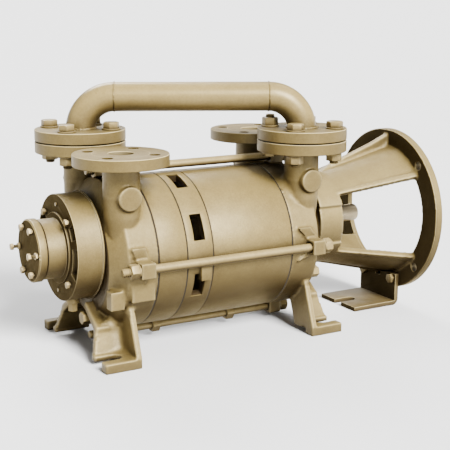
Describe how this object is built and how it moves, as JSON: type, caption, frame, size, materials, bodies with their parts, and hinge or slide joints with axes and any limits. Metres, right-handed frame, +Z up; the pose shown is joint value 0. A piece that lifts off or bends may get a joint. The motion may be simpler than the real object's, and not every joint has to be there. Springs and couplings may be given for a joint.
{
  "type": "liquid ring vacuum pump",
  "caption": "Two-stage liquid ring vacuum pump with a bridge pipe between its stages, cast feet, a bearing bracket and an open lantern for a flanged motor.",
  "frame": {"origin": "centre of the motor mounting face, on the shaft axis", "axes": "+X along the shaft axis, out of the motor face; +Y away from the outlet flange's side; +Z up"},
  "size_m": [0.7295, 0.312, 0.429],
  "materials": {
    "cast_paint": "sand coloured enamel over cast iron",
    "sheet_paint": "sand coloured enamel over steel plate and pipe",
    "fastener_paint": "painted steel fasteners",
    "machined_steel": "turned steel",
    "impeller_bronze": "cast bronze",
    "seal_carbon": "black rubber and carbon",
    "gasket_fibre": "dark fibre gasket",
    "cage_steel": "pressed brass cage"
  },
  "bodies": {
    "pump_frame": {"suction_casing": "cast_paint", "discharge_casing": "cast_paint", "stage_1_casing": "cast_paint", "stage_2_casing": "cast_paint", "intermediate_ring": "cast_paint", "stage_1_port_plate": "cast_paint", "stage_2_port_plate": "cast_paint", "stage_1_end_disc": "cast_paint", "stage_2_end_disc": "cast_paint", "casing_gaskets": "gasket_fibre", "tie_rods": "fastener_paint", "tie_rod_nuts": "fastener_paint", "tie_rod_washers": "fastener_paint", "tie_rod_spacers": "fastener_paint", "bearing_bracket": "cast_paint", "bracket_screws": "fastener_paint", "bearing_cartridge": "cast_paint", "end_cover_gasket": "gasket_fibre", "end_cover": "cast_paint", "end_cover_screws": "fastener_paint", "jacking_screws": "fastener_paint", "bracket_dowels": "fastener_paint", "outer_bearing_outer_ring": "machined_steel", "drive_bearing_outer_ring": "machined_steel", "seal_seats": "seal_carbon", "motor_lantern": "cast_paint", "lantern_screws": "fastener_paint", "drive_bearing_cover": "cast_paint", "drive_cover_screws": "fastener_paint", "lip_seals": "seal_carbon", "support_foot": "sheet_paint", "support_foot_screws": "fastener_paint", "interstage_pipe": "sheet_paint", "pipe_flanges": "sheet_paint", "pipe_gaskets": "gasket_fibre", "flange_bolts": "fastener_paint", "flange_nuts": "fastener_paint", "flange_washers": "fastener_paint", "bracket_drain_plug": "fastener_paint", "casing_drain_plugs": "fastener_paint"},
    "rotor": {"shaft": "machined_steel", "impeller_keys": "machined_steel", "stage_1_impeller": "impeller_bronze", "stage_2_impeller": "impeller_bronze", "interstage_sleeve": "machined_steel", "shaft_sleeves": "machined_steel", "seal_rings": "seal_carbon", "water_slingers": "seal_carbon", "lock_washer": "machined_steel", "lock_nut": "machined_steel", "outer_bearing_inner_ring": "machined_steel", "drive_bearing_inner_ring": "machined_steel"},
    "outer_ball_set": {"outer_bearing_balls": "machined_steel", "outer_bearing_cage": "cage_steel"},
    "drive_ball_set": {"drive_bearing_balls": "machined_steel", "drive_bearing_cage": "cage_steel"}
  },
  "joints": [
    {"name": "shaft_spin", "type": "hinge", "parent": "pump_frame", "child": "rotor", "pos_m": [-0.3, 0, 0], "axis": [1, 0, 0], "continuous": true},
    {"name": "outer_ball_set_spin", "type": "hinge", "parent": "pump_frame", "child": "outer_ball_set", "pos_m": [-0.682, 0, 0], "axis": [1, 0, 0], "continuous": true},
    {"name": "drive_ball_set_spin", "type": "hinge", "parent": "pump_frame", "child": "drive_ball_set", "pos_m": [-0.1915, 0, 0], "axis": [1, 0, 0], "continuous": true}
  ],
  "couplings": [
    {"joint": "outer_ball_set_spin", "follows": "shaft_spin", "ratio": 0.3965},
    {"joint": "drive_ball_set_spin", "follows": "shaft_spin", "ratio": 0.3963}
  ]
}
